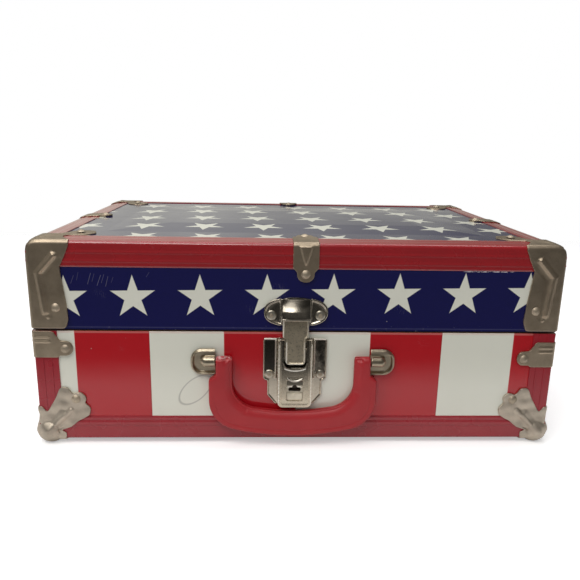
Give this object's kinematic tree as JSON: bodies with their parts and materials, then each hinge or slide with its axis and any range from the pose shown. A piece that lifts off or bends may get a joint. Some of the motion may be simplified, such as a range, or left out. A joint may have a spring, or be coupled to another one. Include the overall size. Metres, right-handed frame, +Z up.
{
  "type": "tin trunk",
  "caption": "Small tin-clad trunk with a hinged lid, pressed metal corners, a draw latch with a key lock and a swinging front handle.",
  "frame": {"origin": "middle of the overall size in X and Y, on the floor that the corner balls stand on", "axes": "+X to the right along the long side, +Y from the latch side to the hinge side, +Z up"},
  "size_m": [0.4152, 0.2947, 0.1672],
  "materials": {
    "printed_tin": "gloss",
    "red_trim": "satin",
    "nickel": "satin",
    "rivet_steel": "satin",
    "handle_plastic": "satin",
    "board": "matte",
    "rim": "matte",
    "lining": "matte"
  },
  "bodies": {
    "base": {"base_bottom_board": "board", "base_front_board": "board", "base_back_board": "board", "base_side_boards": "board", "base_side_skin": "printed_tin", "base_bottom_skin": "printed_tin", "base_lining": "lining", "rim_strip": "rim", "base_trim_front": "red_trim", "base_trim_back": "red_trim", "base_trim_left": "red_trim", "base_trim_right": "red_trim", "base_post_trims": "red_trim", "base_corner_front_left": "nickel", "base_corner_front_right": "nickel", "base_corner_back_left": "nickel", "base_corner_back_right": "nickel", "base_clamp_front_left": "nickel", "base_clamp_front_right": "nickel", "base_clamp_back_left": "nickel", "base_clamp_back_right": "nickel", "base_rivets": "rivet_steel", "handle_bracket_left": "nickel", "handle_bracket_right": "nickel", "latch_plate": "nickel", "latch_lever_pin": "rivet_steel", "hinge_leaf_base_left": "nickel", "hinge_leaf_base_right": "nickel", "hinge_pins": "rivet_steel"},
    "lid": {"lid_top_board": "board", "lid_front_board": "board", "lid_back_board": "board", "lid_side_boards": "board", "lid_top_skin": "printed_tin", "lid_side_skin": "printed_tin", "lid_lining": "lining", "lid_trim_front": "red_trim", "lid_trim_back": "red_trim", "lid_trim_left": "red_trim", "lid_trim_right": "red_trim", "lid_corner_front_left": "nickel", "lid_corner_front_right": "nickel", "lid_corner_back_left": "nickel", "lid_corner_back_right": "nickel", "lid_clamp_front": "nickel", "lid_clamp_back": "nickel", "lid_clamp_left": "nickel", "lid_clamp_right": "nickel", "lid_rivets": "rivet_steel", "latch_keeper": "nickel", "hinge_leaf_lid_left": "nickel", "hinge_leaf_lid_right": "nickel"},
    "handle": {"handle_grip": "handle_plastic", "handle_pins": "rivet_steel"},
    "lever": {"latch_lever": "nickel", "lock_plate": "nickel", "latch_bolt_pin": "rivet_steel"},
    "bolt": {"latch_bolt": "nickel"},
    "lock": {"lock_plug": "nickel"}
  },
  "joints": [
    {"name": "lid_hinge", "type": "hinge", "parent": "base", "child": "lid", "pos_m": [0, 0.1445, 0.094], "axis": [-1, 0, 0], "range_deg": [0, 100]},
    {"name": "handle_swing", "type": "hinge", "parent": "base", "child": "handle", "pos_m": [-0.0043, -0.1432, 0.072], "axis": [-1, 0, 0], "range_deg": [0, 150]},
    {"name": "latch_lever_lift", "type": "hinge", "parent": "base", "child": "lever", "pos_m": [-0.003, -0.1407, 0.088], "axis": [-1, 0, 0], "range_deg": [0, 100]},
    {"name": "latch_bolt_swing", "type": "hinge", "parent": "lever", "child": "bolt", "pos_m": [-0.003, -0.1416, 0.0815], "axis": [-1, 0, 0], "range_deg": [-90, 0]},
    {"name": "lock_cam_turn", "type": "hinge", "parent": "lever", "child": "lock", "pos_m": [-0.003, -0.1419, 0.049], "axis": [0, -1, 0], "range_deg": [0, 90]}
  ],
  "couplings": [
    {"joint": "latch_bolt_swing", "follows": "latch_lever_lift", "ratio": -0.88}
  ]
}
